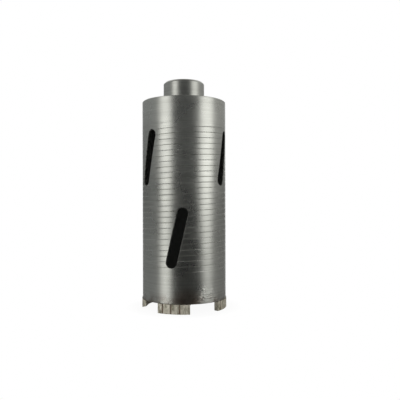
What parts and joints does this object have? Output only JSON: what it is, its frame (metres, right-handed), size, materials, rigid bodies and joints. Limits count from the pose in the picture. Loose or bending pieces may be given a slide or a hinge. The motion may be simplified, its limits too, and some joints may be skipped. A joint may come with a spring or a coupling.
{
  "type": "diamond core bit",
  "caption": "Dry diamond core bit: a slotted steel barrel with brazed diamond segments at its open end and a threaded hub on its closed end.",
  "frame": {"origin": "on the bit's axis, in the plane of the segments' lower faces", "axes": "+Z along the axis from the cutting end to the hub, -Y towards the front of the picture"},
  "size_m": [0.0644, 0.0641, 0.1715],
  "materials": {
    "barrel_steel": "turned, satin, with a fine helical groove",
    "plate_steel": "faced on a lathe",
    "hub_steel": "turned, satin",
    "weld_metal": "weld bead, brushed clean",
    "diamond_segment": "sintered metal and diamond grit, ground"
  },
  "bodies": {
    "root": {"barrel": "barrel_steel", "end_plate": "plate_steel", "rim_weld": "weld_metal", "threaded_hub": "hub_steel", "hub_weld": "weld_metal", "segment_1": "diamond_segment", "segment_2": "diamond_segment", "segment_3": "diamond_segment", "segment_4": "diamond_segment", "segment_5": "diamond_segment"}
  },
  "joints": []
}
